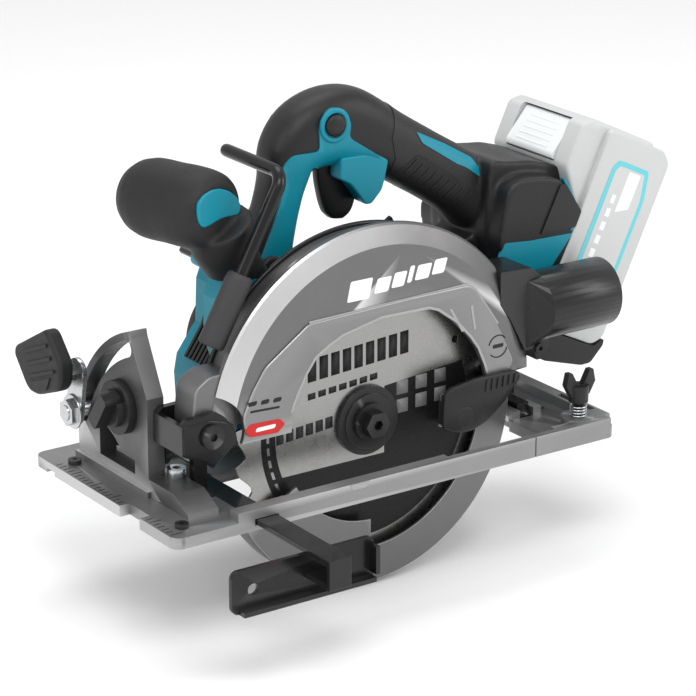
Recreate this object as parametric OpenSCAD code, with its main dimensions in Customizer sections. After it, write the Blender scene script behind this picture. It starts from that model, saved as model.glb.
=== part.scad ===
// Cordless circular saw, blade on the left of the motor, with rip fence and battery pack.
// X runs from the front of the base to the battery, Y from the blade to the motor, Z up.
// The origin lies on the sole, straight below the spindle and in the plane of the blade.

/* [Blade] */
// Diameter of the saw blade
blade_d = 165; // [160:1:166]
// Thickness of the blade's plate
blade_t = 1.4; // [1:0.1:1.8]
// Number of teeth on the blade
teeth = 25; // [20:1:48]
// Height of the spindle over the sole at full depth
arbor_z = 27.4; // [27:0.1:28]

/* [Base] */
// Front edge of the base
base_front = -143.6; // [-146:0.1:-143]
// Rear edge of the base
base_rear = 140; // [139:0.5:144]
// Blade side edge of the base
base_near = -40.75; // [-42:0.05:-40.5]
// Motor side edge of the base
base_far = 104.2; // [103:0.1:108]
// Thickness of the base's deck
deck_t = 6.1; // [5.9:0.1:6.2]
// Height of the rail along the blade side
rail_h = 11.5; // [10.5:0.1:11.5]

/* [Tilt and depth] */
// Distance of the tilt axis from the blade
tilt_y = 4.5; // [4.3:0.1:4.7]
// Height of the tilt axis over the sole
tilt_z = 5; // [4.9:0.1:5.1]
// Radius of the arc that the tilt clamp follows
tilt_slot_r = 82.4; // [82:0.1:83]
// Distance of the depth pivot in front of the spindle
depth_x = -104; // [-104.5:0.1:-103.5]
// Height of the depth pivot over the sole
depth_z = 44; // [43.5:0.1:44.5]
// Radius of the arc of the depth guide
depth_slot_r = 150; // [149:0.5:151]

/* [Gears] */
// Module of the two gears
gear_m = 1; // [1:1]
// Teeth on the drive gear
gear_teeth = 44; // [44:1:44]
// Teeth on the motor's pinion
pinion_teeth = 11; // [11:1:11]

/* [Hidden] */
$fn = 64;
e = 0.01;
blade_r = blade_d / 2;
spindle = [0, arbor_z];
depth_pivot = [depth_x, depth_z];
tilt_pivot = [tilt_y, tilt_z];

// upper guard: a drum whose centre is above the spindle
drum = [0, arbor_z + 7.8];
drum_r = 102.3;
drum_step_r = 96.5;
drum_in_r = 93.5;
guard_near = -13.5;
guard_wall = 2.5;
guard_step_y = -5.5;
guard_far0 = 12.5;
guard_far1 = 14.5;
guard_bottom = 36;

// lower guard
shoe_r = 90.6;
shoe_t = 1.8;
shoe_near = -7.2;
shoe_far = 8.9;
nose_r = 22;
nose_fit = 0.06;

// motor
centres = gear_m * (gear_teeth + pinion_teeth) / 2;
motor_dx = -14;
motor = [motor_dx, arbor_z + sqrt(centres * centres - motor_dx * motor_dx)];
motor_angle = atan2(motor[1] - arbor_z, motor_dx);
gear_y0 = 20;
gear_y1 = 30;
motor_y0 = 42;
motor_y1 = 99;
motor_case_r = 38;

// handle and battery
handle_y = 50;
handle_w = 34;
pack_o = [153.2, 114];
pack_tilt = 64.5;
pack_y0 = 12;
pack_y1 = 88;

// depth clamp, near the low end of its slot
depth_clamp = depth_pivot + depth_slot_r * [cos(-5), sin(-5)];

// tilt quadrant
quad_x0 = -124.5;
quad_x1 = -114.5;
clamp_angle = 21;
tilt_max = 45;
clamp = [tilt_y + tilt_slot_r * cos(clamp_angle), tilt_z + tilt_slot_r * sin(clamp_angle)];

// knob and lever of the quadrant
knob = [41, 48.5];

// rip fence
bar_x0 = -95.5;
bar_x1 = -82.5;
bar_z0 = 3;
bar_z1 = 6;
bar_end = -107;
plate_y = -83;

// opening of the base
gap_x0 = -96.2;
gap_x1 = 96;
gap_y0 = -33;
gap_y1 = 24;

// ---------- helpers ----------
// A flat outline in X and Z, from y0 to y1
module yslab(y0, y1) {
    translate([0, y1, 0]) rotate([90, 0, 0]) linear_extrude(height = y1 - y0) children();
}

// A flat outline in Y and Z, from x0 to x1
module xslab(x0, x1) {
    translate([x0, 0, 0]) rotate([90, 0, 90]) linear_extrude(height = x1 - x0) children();
}

// A flat outline in X and Y, from z0 to z1
module zslab(z0, z1) {
    translate([0, 0, z0]) linear_extrude(height = z1 - z0) children();
}

// Round bars along Y, X and Z; c holds the two other coordinates
module ycyl(c, r, y0, y1) {
    translate([c[0], y1, c[1]]) rotate([90, 0, 0]) cylinder(r = r, h = y1 - y0);
}

module xcyl(c, r, x0, x1) {
    translate([x0, c[0], c[1]]) rotate([0, 90, 0]) cylinder(r = r, h = x1 - x0);
}

module zcyl(c, r, z0, z1) {
    translate([c[0], c[1], z0]) cylinder(r = r, h = z1 - z0);
}

module ytube(c, r, bore_r, y0, y1) {
    difference() {
        ycyl(c, r, y0, y1);
        ycyl(c, bore_r, y0 - 1, y1 + 1);
    }
}

module block(x0, x1, y0, y1, z0, z1) {
    translate([x0, y0, z0]) cube([x1 - x0, y1 - y0, z1 - z0]);
}

// A rectangle with round corners
module round_rect(x0, x1, y0, y1, r) {
    translate([x0 + r, y0]) square([x1 - x0 - 2 * r, y1 - y0]);
    translate([x0, y0 + r]) square([x1 - x0, y1 - y0 - 2 * r]);
    for (x = [x0 + r, x1 - r], y = [y0 + r, y1 - r]) translate([x, y]) circle(r = r);
}

// The part of the plane between two angles about a centre
module wedge(c, r, a0, a1) {
    steps = ceil((a1 - a0) / 30);
    rim = [for (i = [0:steps]) let (a = a0 + (a1 - a0) * i / steps) c + r * [cos(a), sin(a)]];
    polygon(concat([c], rim));
}

// A ring segment with square ends
module ring_part(c, r0, r1, a0, a1) {
    intersection() {
        difference() {
            translate(c) circle(r = r1);
            translate(c) circle(r = r0);
        }
        wedge(c, r1 * 1.3, a0, a1);
    }
}

// A curved slot with round ends
module arc_slot(c, r, w, a0, a1) {
    ring_part(c, r - w / 2, r + w / 2, a0, a1);
    for (a = [a0, a1]) translate(c + r * [cos(a), sin(a)]) circle(r = w / 2);
}

// Points of an arc, both ends included
function arc_points(c, r, a0, a1, n) = [
    for (i = [0:n]) let (a = a0 + (a1 - a0) * i / n) c + r * [cos(a), sin(a)]
];

// A bar with round ends between two points of the plane
module link(a, b, r) {
    d = b - a;
    translate(a) circle(r = r);
    translate(b) circle(r = r);
    translate(a) rotate(atan2(d[1], d[0])) translate([0, -r]) square([norm(d), 2 * r]);
}

// A spur gear's outline, with one tooth on the X axis; slim is the share of the pitch that is tooth
module gear_outline(n, m, slim = 0.4) {
    pitch_r = n * m / 2;
    root_r = pitch_r - 1.25 * m;
    tip_r = pitch_r + 0.9 * m;
    half = 180 / n * slim;
    circle(r = root_r);
    for (i = [0:n - 1]) rotate(i * 360 / n) polygon([
        [root_r - 0.3 * m, -root_r * sin(half * 1.5)], [pitch_r, -pitch_r * sin(half)],
        [tip_r, -tip_r * sin(half * 0.5)], [tip_r, tip_r * sin(half * 0.5)],
        [pitch_r, pitch_r * sin(half)], [root_r - 0.3 * m, root_r * sin(half * 1.5)]
    ]);
}

// Places children in the battery's own frame: s runs up along the pack, t away from the saw
module pack_frame() {
    translate([pack_o[0], 0, pack_o[1]]) rotate([0, -pack_tilt, 0]) children();
}

// A block in that frame, from s0 to s1 along it and t0 to t1 away from the saw
module pack_block(s0, s1, t0, t1, y0, y1) {
    pack_frame() translate([s0, y0, -t1]) cube([s1 - s0, y1 - y0, t1 - t0]);
}

// The same frame for an outline: first along s, second towards the saw
module pack_slab(y0, y1) {
    pack_frame() translate([0, y1, 0]) rotate([90, 0, 0]) linear_extrude(height = y1 - y0) children();
}

// ---------- base ----------
screw_spots = [[-132.7, 79.2], [-132.1, -28.3]];
wing_spot = [122.7, -28.3];

module deck_outline() {
    difference() {
        round_rect(base_front, base_rear, base_near, base_far, 6);
        // blade opening, its bay for the gear housing and the recess for the guard's lever
        translate([gap_x0, gap_y0]) square([gap_x1 - gap_x0, gap_y1 - gap_y0]);
        translate([-36, gap_y1 - 1]) square([72, 20]);
        translate([28, -36.5]) square([gap_x1 - 28, 10]);
        // bays for the quadrant's hinge block and for the two tilt knuckles
        translate([quad_x0 - 0.1, -3.1]) square([28.9, 15.2]);
        translate([95, -1.5]) square([18, 12]);
        // sighting notch
        translate([base_front - 1, -6]) square([7, 20]);
        // weight saving pocket at the rear corner
        translate([108, 40]) square([20, 46]);
    }
}

module base_plate() color("#8e8e8e") difference() {
    union() {
        zslab(0, deck_t) deck_outline();
        // rail along the blade side, thinner beside the lever
        block(gap_x0 - 10, 28, base_near, gap_y0, deck_t - e, rail_h);
        block(28, gap_x1 + 4, base_near, -36.5, deck_t - e, rail_h);
        block(gap_x1 + 4, base_rear - 4, base_near, gap_y0, deck_t - e, rail_h);
        // ribs on the other three sides
        block(-80, base_rear - 6, base_far - 5, base_far, deck_t - e, 9);
        block(base_rear - 8, base_rear, base_near + 6, base_far - 6, deck_t - e, rail_h);
        block(-78, gap_x1 + 4, gap_y1 + 20, gap_y1 + 24, deck_t - e, 8.5);
        // ears of the rear tilt pin
        block(98.6, 103.4, tilt_y - 6, tilt_y + 6, 0.5, 10.5);
        block(112.6, 118, tilt_y - 6, tilt_y + 6, 0.5, 10.5);
        // boss of the wing bolt, and the bridge over the fence bar
        zcyl(wing_spot, 9.5, deck_t - e, 12);
        block(bar_x0 - 6, bar_x1 + 6, 62, 74, deck_t - e, 9.5);
    }
    // channel of the fence bar
    block(bar_x0 - 0.7, bar_x1 + 0.7, base_near - 1, base_far + 1, bar_z0 - 0.3, bar_z1 + 0.3);
    block(bar_x0 - 0.7, bar_x1 + 0.7, gap_y0, 61, bar_z1, rail_h + 1);
    block(bar_x0 - 0.7, bar_x1 + 0.7, 75, base_far - 6, bar_z1, rail_h + 1);
    // guide rail groove under the sole
    block(base_front - 1, base_rear + 1, 82, 90, -1, 2.2);
    // pocket in the rear rail and thread of the wing bolt
    block(base_rear - 6, base_rear - 2, -24, 6, 7.5, rail_h + 1);
    zcyl(wing_spot, 3.05, -1, 13);
    xcyl(tilt_pivot, 2, 90, 125);
    for (s = screw_spots) zcyl(s, 2, 2, 10);
}

module quadrant_outline() {
    difference() {
        intersection() {
            translate(tilt_pivot) circle(r = 91);
            polygon([[16.5, deck_t], [88.5, deck_t], [88.5, 100], [34, 100], [31, 88], [16.5, 59]]);
        }
        arc_slot(tilt_pivot, tilt_slot_r, 8.8, clamp_angle - 2, clamp_angle + tilt_max + 2);
        polygon([[66, 14], [66, 32], [58, 32], [50, 28], [44, 23], [30, 22], [30, 14]]);
        translate(knob) circle(r = 4.05);
    }
}

module bevel_quadrant() color("#878787") difference() {
    union() {
        xslab(quad_x0, quad_x1) quadrant_outline();
        // hinge block with its sloping end
        xslab(quad_x0, -106.3) polygon([
            [20, deck_t], [20, 15.5], [-8, 15.5], [-22, 8.5], [-22, deck_t], [-3, deck_t],
            [-3, 0.6], [12, 0.6], [12, deck_t]
        ]);
        // foot flange
        block(quad_x0 - 2.5, -106.3, 14, 88.5, deck_t, 9.5);
    }
    xcyl(tilt_pivot, 2, -130, -100);
    zcyl([-110.3, 12], 3, 9, 20);
}

module phillips_cut(c, z) {
    for (a = [0, 90]) translate([c[0], c[1], z]) rotate(a) translate([-1.6, -0.4, 0]) cube([3.2, 0.8, 2]);
}

module deck_screws() color("#202020") for (s = screw_spots) difference() {
    union() {
        zcyl(s, 2, 2.2, deck_t + e);
        zcyl(s, 3.6, deck_t, deck_t + 2.4);
    }
    phillips_cut(s, deck_t + 1.4);
}

module square_stop_post() color("#b8b8b4") difference() {
    union() {
        zcyl([-110.3, 12], 3, 9, 17);
        zcyl([-110.3, 12], 5, 15.5, 20.5);
    }
    zcyl([-110.3, 12], 2.4, 17.5, 21, $fn = 6);
}

module front_tilt_pin() color("#909090") xcyl(tilt_pivot, 1.96, -124.3, -97.6);

module rear_tilt_pin() color("#909090") xcyl(tilt_pivot, 1.96, 98.8, 117.8);

module wing_bolt() color("#1c1c1c") {
    zcyl(wing_spot, 3, 1, 22);
    zcyl(wing_spot, 5.5, 20.5, 30);
    translate([wing_spot[0], wing_spot[1], 0]) yslab(-2, 2) polygon([
        [-6, 24], [6, 24], [10, 31], [8.5, 38], [6, 38], [2, 30.5], [-2, 30.5], [-6, 38], [-8.5, 38], [-10, 31]
    ]);
}

// A closed wire ring lying flat at height z
module wire_ring(r, wire_r, z) {
    translate([0, 0, z]) rotate_extrude() translate([r, 0]) circle(r = wire_r, $fn = 20);
}

module wing_bolt_spring() color("#a0a0a0") {
    translate([wing_spot[0], wing_spot[1], 0]) for (i = [0:3]) wire_ring(4.3, 0.5, 12.7 + i * 1.7);
}

module bevel_stop_knob() color("#242424") {
    xcyl(knob, 4, -125, -115);
    xcyl(knob, 14.5, -129.5, -124.9);
    xcyl(knob, 10, -133, -129);
    translate([0, knob[0], knob[1]]) rotate([35, 0, 0]) xslab(-140, -130) round_rect(-4, 4, -11, 11, 2);
}

// ---------- rip fence ----------
module fence_bar() color("#151515") {
    block(bar_x0, bar_x1, bar_end, 58, bar_z0, bar_z1);
    block(bar_x0, bar_x1, bar_end, bar_end + 3, -7, bar_z1);
    block(bar_x0, bar_x1, bar_end, plate_y - 2.5, -10, -7);
}

module fence_plate() color("#1a1a1a") difference() {
    union() {
        yslab(plate_y - 2.5, plate_y) round_rect(-139, -54, -20, bar_z0, 4);
        block(-135, -56, plate_y - 8, plate_y - 1, -20, -17.5);
        block(-56.5, -54, plate_y - 8, plate_y - 1, -16, -1);
    }
    ycyl([-126.5, -8.5], 3.1, plate_y - 10, plate_y + 1);
}

// ---------- tilting frame ----------
cheek_near = [-12, -8];
cheek_far = [12, 16];

module cheek_outline() {
    translate(depth_pivot) circle(r = 12);
    polygon([
        [-121, 52], [-118, 55], [-100, 55.5], [-90, 47], [-88.5, 37], [-103, 26], [-107, 30], [-121, 36]
    ]);
}

module front_bracket() color("#1d1d1d") difference() {
    union() {
        yslab(cheek_near[0], cheek_near[1]) cheek_outline();
        yslab(cheek_far[0], cheek_far[1]) cheek_outline();
        // web in front of the guard's lug
        block(-121, -118.2, cheek_near[0], cheek_far[1], 36, 52);
        // knuckle of the tilt hinge and the stay up to the cheeks
        xcyl(tilt_pivot, 4.4, -105.6, -97.8);
        block(-105.6, -97.8, 2, 7, 5, 30);
        block(-105.6, -97.8, 2, 14, 26, 31);
        // arm behind the quadrant, out to the tilt clamp
        xslab(-114.2, -110.2) polygon([
            [12, 30], [20, 20], [70, 16], [88, 22], [90, 36], [84, 44], [60, 46], [30, 52], [12, 50]
        ]);
        block(-121, -110.2, 12, 16, 36, 50);
    }
    xcyl(tilt_pivot, 2, -110, -90);
    xcyl(clamp, 4.05, -120, -100);
    ycyl(depth_pivot, 4, -20, 20);
}

module depth_pivot_pin() color("#2a2a2a") difference() {
    union() {
        ycyl(depth_pivot, 3.96, -13, 17);
        ycyl(depth_pivot, 6.4, -15.2, -12);
        ycyl(depth_pivot, 6, 16, 18.5);
    }
    ycyl(depth_pivot, 2.3, -16, -13.6, $fn = 6);
}

module bevel_clamp_bolt() color("#b0b4b4") {
    xcyl(clamp, 4, -136.6, -106);
    xcyl(clamp, 7, -110.2, -105, $fn = 6);
}

module depth_guide_outline() {
    difference() {
        polygon(concat(
            arc_points(depth_pivot, depth_slot_r + 8, -12.5, 33.5, 20),
            arc_points(depth_pivot, depth_slot_r - 8, 33.5, -12.5, 20)
        ));
        polygon(concat(
            arc_points(depth_pivot, depth_slot_r + 4.1, -8, 28.5, 18),
            arc_points(depth_pivot + depth_slot_r * [cos(28.5), sin(28.5)], 4.1, 58.5, 178.5, 4),
            arc_points(depth_pivot, depth_slot_r - 4.1, 28.5, -8, 18),
            arc_points(depth_pivot + depth_slot_r * [cos(-8), sin(-8)], 4.1, 202, 322, 4)
        ));
    }
}

module depth_guide() color("#262626") difference() {
    union() {
        yslab(15.6, 18.2) depth_guide_outline();
        block(37, 112.2, 15.6, 18.2, 8.5, 18.4);
        // rear knuckle and its stay
        xcyl(tilt_pivot, 4.4, 103.8, 112.2);
        block(104, 112, 2, 17, 7.5, 13);
    }
    xcyl(tilt_pivot, 2, 90, 125);
}

module bevel_lever_arm() color("#aeb4b4") difference() {
    union() {
        xslab(-131.4, -128.9) link(clamp, [77, 58], 7.5);
        block(-144, -128.9, 70, 84, 56.5, 59.5);
        block(-144, -141.6, 70, 84, 56.5, 65.6);
    }
    xcyl(clamp, 4.05, -135, -125);
}

module bevel_lever_grip() color("#2b2b2b") difference() {
    xslab(-147.5, -138.8) polygon([
        [66, 56], [70, 52], [92, 43.5], [100, 43.5], [104, 46], [116, 60], [115, 65], [82, 83],
        [78, 82], [65, 68]
    ]);
    // slot for the end of the arm
    block(-144.1, -137, 69.6, 84.4, 50, 66);
}

module bevel_lever_nut() color("#b8bebe") difference() {
    union() {
        xcyl(clamp, 7.6, -136, -131.4, $fn = 6);
        xcyl(clamp, 9.5, -132.6, -131.4);
    }
    xcyl(clamp, 4.02, -140, -130);
}

// ---------- guards ----------
module drum_outline(r) {
    intersection() {
        translate(drum) circle(r = r);
        polygon([
            [-110, 150], [-110, 47], [-93, 46], [-89.3, 39], [-88, guard_bottom], [60, guard_bottom],
            [78, 37.3], [100.9, 38.9], [110, 43], [110, 150]
        ]);
    }
}

module guard_window() {
    polygon([
        [-55.5, 20], [-55.7, 47], [-53.7, 52.6], [-46.2, 66.5], [-40.8, 73.7], [-32.6, 78.5], [-24.4, 82.5],
        [0, 87.5], [31, 87], [36.9, 84.8], [48.2, 76.5], [58, 66], [63.1, 58.9], [67.5, 49],
        [70.7, 38.8], [71, 20]
    ]);
}

module upper_guard() color("#858483") difference() {
    union() {
        // stepped rim with the near wall and the far wall
        yslab(guard_near, guard_step_y) drum_outline(drum_r);
        yslab(guard_step_y - 1, guard_far1) drum_outline(drum_step_r);
        // lug of the depth pivot
        ycyl(depth_pivot, 9, -7.6, 11.6);
        yslab(-7.6, 11.6) polygon([[-112, 48], [-110, 70], [-100, 74], [-85, 74], [-85, 40], [-100, 36]]);
        // tab of the depth clamp
        yslab(guard_far0, guard_far1) link(depth_clamp, [depth_clamp[0], 44], 8);
    }
    // chamber of the blade
    intersection() {
        ycyl(drum, drum_in_r, guard_near + guard_wall, guard_far0);
        block(-120, 120, -20, 20, -100, 200);
    }
    block(-87, 120, guard_near + guard_wall, guard_far0, 0, guard_bottom + 3);
    yslab(guard_near - 1, guard_near + guard_wall + 1) guard_window();
    // room for the two cheeks
    ycyl(depth_pivot, 19.5, guard_near - 1, -7.8);
    ycyl(depth_pivot, 19.5, 11.8, guard_far1 + 1);
    ycyl(depth_pivot, 4.03, -20, 20);
    // seat of the gear housing, and the mouth of the dust channel
    ycyl(spindle, 26, guard_far0 - 1, guard_far1 + 1);
    block(60, 120, -11, 12.5, 62, 100);
    ycyl(depth_clamp, 3.75, guard_far0 - 1, guard_far1 + 1);
    // edge where the nozzle starts
    yslab(guard_near - 1, guard_far1 + 1) polygon([
        [79, 110], [79, 80], [86, 69.5], [96.5, 50], [115, 50], [115, 110]
    ]);
}

lever_screw = [53, 22.5];

module lower_guard() color("#7c7c7e") difference() {
    union() {
        // rim band
        yslab(shoe_near, shoe_far) ring_part(spindle, shoe_r - shoe_t, shoe_r, 208, 368);
        // far wall and its hub
        yslab(shoe_far - 1.7, shoe_far) union() {
            ring_part(spindle, 20, shoe_r, 208, 368);
            translate(spindle) circle(r = 30);
        }
        // near wall: narrow at the back, wide at the front and under the lever
        yslab(shoe_near, shoe_near + 1.6) union() {
            ring_part(spindle, 71, shoe_r, 260, 350);
            ring_part(spindle, 55, shoe_r, 208, 269);
            ring_part(spindle, 45, shoe_r, 345, 368);
        }
    }
    ycyl(spindle, nose_r + nose_fit, 5, 12);
    ycyl(lever_screw, 2, -9, 0);
}

lever_outline = [
    [38.5, 19], [40, 39], [44, 41], [60, 43.5], [87, 42.5], [91, 39.5], [88, 35], [80, 26], [68, 17],
    [58, 13.6], [48, 14.4], [42, 15.5]
];

module guard_lever() color("#262626") difference() {
    union() {
        yslab(-17, -13.8) polygon(lever_outline);
        yslab(-14, shoe_near) round_rect(43, 56.3, 18, 30, 2);
    }
    ycyl(lever_screw, 2, -20, 0);
    ycyl(lever_screw, 4, -20, -15.8);
}

module guard_lever_screw() color("#1a1a1a") difference() {
    union() {
        ycyl(lever_screw, 1.98, -16, -5);
        ycyl(lever_screw, 3.9, -17.6, -15.8);
    }
    ycyl(lever_screw, 1.6, -18, -16.6, $fn = 6);
}

// ---------- drive ----------
module drive_case_outline(r_gear, r_motor) {
    translate(spindle) circle(r = r_gear);
    translate(motor) circle(r = r_motor);
    link(spindle, motor, r_gear);
}

// axis of the shaft lock, in Y and Z
lock_axis = [33, 44];

module gear_housing() color("#8a8a8a") difference() {
    union() {
        yslab(guard_far1, motor_y0 - 1) drive_case_outline(25.8, 27);
        ycyl(spindle, 25.9, guard_far0, guard_far1 + 1);
        ycyl(spindle, nose_r, 6.4, guard_far0 + 1);
        xcyl(lock_axis, 7, 10, 31);
    }
    xcyl(lock_axis, 4.1, 16, 32);
    yslab(18, motor_y0 - 4.5) drive_case_outline(23.7, 12);
    ycyl(spindle, 17.5, 6, 19);
    ycyl(spindle, 13, 30, motor_y0 - 2.5);
    ycyl(motor, 11, 34, motor_y0 + 1);
}

module spindle_bearings() color("#c0c0c0") {
    ytube(spindle, 17.44, 7.54, 8.5, 17);
    ytube(spindle, 12.94, 5.04, 31.5, 38.5);
}

module spindle_shaft() color("#a8a8a8") difference() {
    union() {
        ycyl(spindle, 7.5, -0.7, 31);
        ycyl(spindle, 5, 30, 38.4);
    }
    ycyl(spindle, 3.5, -1, 18);
}

module drive_gear() color("#9a9a9a") difference() {
    translate([0, 0, arbor_z]) yslab(gear_y0, gear_y1) rotate(motor_angle) gear_outline(gear_teeth, gear_m);
    ycyl(spindle, 7.5, 10, 40);
}

module inner_flange() color("#3a3a3a") ytube(spindle, 18.5, 7.5, blade_t / 2, 5.6);

// One closed outline of the disc with its teeth; the cutting faces look clockwise
module blade_outline() {
    pitch = 360 / teeth;
    profile = [[0, 0], [1, 2.6], [2.2, 5.2], [5.4, 8.6], [6.6, 10.6], [6.2, 12.2], [4, 13.4]];
    polygon([for (i = [0:teeth - 1], p = profile) let (a = (i + p[1] / 14.4) * pitch, r = blade_r - p[0])
        r * [cos(a), sin(a)]]);
}

module saw_blade() color("#b5b2ae") difference() {
    translate([0, 0, arbor_z]) yslab(-blade_t / 2, blade_t / 2) difference() {
        blade_outline();
        for (i = [0:4]) rotate(i * 72 + 30) translate([blade_r - 15, 0]) circle(r = 2);
    }
    ycyl(spindle, 7.5, -5, 5);
}

module outer_flange() color("#242424") difference() {
    union() {
        ycyl(spindle, 19.2, -3.4, -blade_t / 2);
        ycyl(spindle, 15.5, -4.6, -2);
    }
    ycyl(spindle, 4.1, -10, 5);
}

module blade_bolt() color("#1e1e1e") difference() {
    union() {
        ycyl(spindle, 10.4, -7, -4.6);
        ycyl(spindle, 7.6, -12.6, -6, $fn = 6);
        ycyl(spindle, 3.46, -6, 15);
    }
    ycyl(spindle, 2.9, -13, -9, $fn = 6);
}

module motor_bearings() color("#c0c0c0") {
    ytube(motor, 10.94, 4.04, 35, 41);
    ytube(motor, 9.44, 4.04, 90, 95.9);
}

module rotor() color("#6f6f74") {
    ycyl(motor, 4, 34, 95.8);
    translate([motor[0], 0, motor[1]]) yslab(gear_y0, 34.5) rotate(motor_angle + 180 + 180 / pinion_teeth)
        gear_outline(pinion_teeth, gear_m);
    ycyl(motor, 15, 56, 78);
}

module stator() color("#7a4a2a") difference() {
    ycyl(motor, 31, 55, 80);
    ycyl(motor, 15.6, 50, 90);
}

module cooling_fan() color("#1f1f1f") difference() {
    union() {
        ycyl(motor, 29, 44, 45.6);
        ycyl(motor, 8, 44, 53);
        for (i = [0:10]) translate([motor[0], 45, motor[1]]) rotate([0, i * 360 / 11, 0])
            translate([6, 0, -0.8]) cube([22, 7, 1.6]);
    }
    ycyl(motor, 4, 40, 60);
}

// ---------- motor housing ----------
// bay for the controller in front of the motor
module controller_bay_outline() {
    polygon([
        [motor[0] + 6, motor[1] + motor_case_r], [-44, 107], [-52, 106], [-56, 96], [-57, 72],
        [-69, 56], [-71, 46], [-70, 26], [-60, 16], [motor[0], motor[1] - motor_case_r + 1]
    ]);
}

key_axis = [-56, 108];

// arm from the motor to the battery's seat
module rear_arm_outline(grow) {
    polygon([
        [8, 80 + grow], [30, 89 + grow], [78, 90 + grow], [96, 96 + grow], [112 + grow, 92], [112 + grow, 68],
        [92, 48 - grow], [20, 36 - grow], [8, 40]
    ]);
}

module motor_housing() color("#158fa3") difference() {
    union() {
        ycyl(motor, motor_case_r, motor_y0 - 0.9, 90);
        yslab(motor_y0 - 0.9, 78) controller_bay_outline();
        yslab(motor_y0 - 0.9, 74) rear_arm_outline(0);
        // shoulder under the front grip
        yslab(15.2, motor_y0) polygon([
            [-70, 64], [-74, 76], [-74, 100], [-68, 112], [-50, 112], [-42, 100], [-42, 86], [-52, 64]
        ]);
        // clip of the hex key
        ycyl(key_axis, 4.5, 68, 76);
    }
    ycyl(motor, 31.1, 43, 91);
    ycyl(motor, 12, 40, 44);
    ycyl(key_axis, 2.05, 60, 95);
    yslab(44, 76) polygon([
        [-48, 100], [-52, 100], [-53.5, 74], [-65.5, 58], [-67, 46], [-66, 28], [-58, 20], [-52, 22],
        [-49, 40], [-48, 84]
    ]);
    yslab(45, 71) polygon([[30, 82], [84, 84], [100, 88], [107, 86], [107, 70], [90, 54], [30, 44]]);
}

module motor_rear_cover() color("#1d1d1d") difference() {
    union() {
        ycyl(motor, 36.5, 90, motor_y1);
        ycyl(motor, 30.9, 84, 90 + e);
    }
    ycyl(motor, 28.5, 83, 89.5);
    ycyl(motor, 9.5, 80, 96);
    // air slots
    for (i = [0:4]) for (side = [-1, 1]) block(
        motor[0] + side * 19 - 6, motor[0] + side * 19 + 6, 89, motor_y1 + 1,
        motor[1] - 14 + i * 6, motor[1] - 11.5 + i * 6
    );
}

// ---------- handle ----------
module handle_outline() {
    difference() {
        polygon([
            [-48, 98], [-50, 106], [-42, 115], [-28, 151], [-34, 167], [-32, 173], [-26, 180], [-16, 189],
            [-2, 195], [10, 197], [22, 196.6], [31, 193.3], [39, 186.4], [50, 180.8], [118, 139.8],
            [118, 97], [108, 91], [84, 90.5], [-20, 91]
        ]);
        // finger opening
        polygon([
            [-3, 163], [-8, 157], [-14, 143], [-19, 130], [-18, 117], [-6, 106], [20, 101], [60, 98.5],
            [80, 98.5], [97, 101.5], [91.7, 108], [44.5, 141.6], [38.5, 147], [31, 152], [24, 150],
            [10, 152], [2, 157]
        ]);
    }
}

// the battery's seat: wider than the grip
module seat_outline() {
    polygon([
        [100, 94], [98.5, 104], [103, 139], [112, 146.2], [121, 145], [130, 143.4], [146, 138.2], [161, 130.7],
        [127.8, 61.2], [114, 61.2], [104, 70]
    ]);
}

module trigger_pocket() yslab(44, 56) polygon([[0.3, 140], [0.3, 167], [28.7, 167], [28.7, 140]]);

module switch_pocket() yslab(44.5, 57.5) polygon([
    [-4.5, 166], [-4.5, 188.5], [30, 188.5], [37, 178], [37, 166]
]);

module handle_half(y0, y1, seat_y0, seat_y1) {
    difference() {
        union() {
            yslab(y0, y1) handle_outline();
            yslab(seat_y0, seat_y1) seat_outline();
        }
        trigger_pocket();
        switch_pocket();
        ycyl(lock_off, 6.4, handle_y - handle_w / 2 - 1, 45);
        // pocket of the terminals, open to the battery
        pack_block(-32, 4, -11, 1, 39, 61);
        // room for the motor's case, its shoulder and its arm
        yslab(30, motor_y0) polygon([[-60, 80], [-60, 112.1], [-49.9, 112.1], [-41.9, 100.1], [-41.9, 80]]);
        yslab(motor_y0 - 1, 75) rear_arm_outline(0.1);
        yslab(motor_y0 - 1, 91) polygon([
            [-4, 80], [-4, 87], [-8, 89.4], [-43.8, 107.4], [-52.3, 106.4], [-56.4, 96], [-56.4, 80]
        ]);
    }
}

lock_off = [3, 181];

module handle_shell_near() color("#1f8ea0")
    handle_half(handle_y - handle_w / 2, handle_y, pack_y0, handle_y);

module handle_shell_far() color("#242424") difference() {
    handle_half(handle_y, handle_y + handle_w / 2, handle_y, pack_y1);
    for (c = handle_screw_spots) ycyl(c, 3.4, 62, 70);
}

handle_screw_spots = [[-28, 132], [-14, 180], [46, 166], [84, 138]];

module handle_screws() color("#303030") for (c = handle_screw_spots) difference() {
    ycyl(c, 3, 62, 64.6);
    ycyl(c, 1.4, 63.4, 65, $fn = 6);
}

module trigger() color("#1c1c1c") yslab(44.6, 55.4) polygon([
    [1, 150], [1, 158], [28, 158], [28, 146], [27, 133], [21, 125.5], [14, 124.5], [8, 129], [3, 138]
]);

module lock_off_button() color("#202020") ycyl(lock_off, 6.1, 29.8, 41);

module switch_unit() color("#303030") block(-1, 29, 45.2, 56.8, 167.5, 186);

module controller() color("#355a3c") block(-63, -51.5, 48, 74, 31, 54);

module terminal_block() color("#c8b070") pack_block(-30, 2, -11, -0.4, 41, 59);

grip_turn = 17.5;

module along_grip() translate([-79, 17, 151]) rotate([-90, 0, grip_turn]) children();

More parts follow.
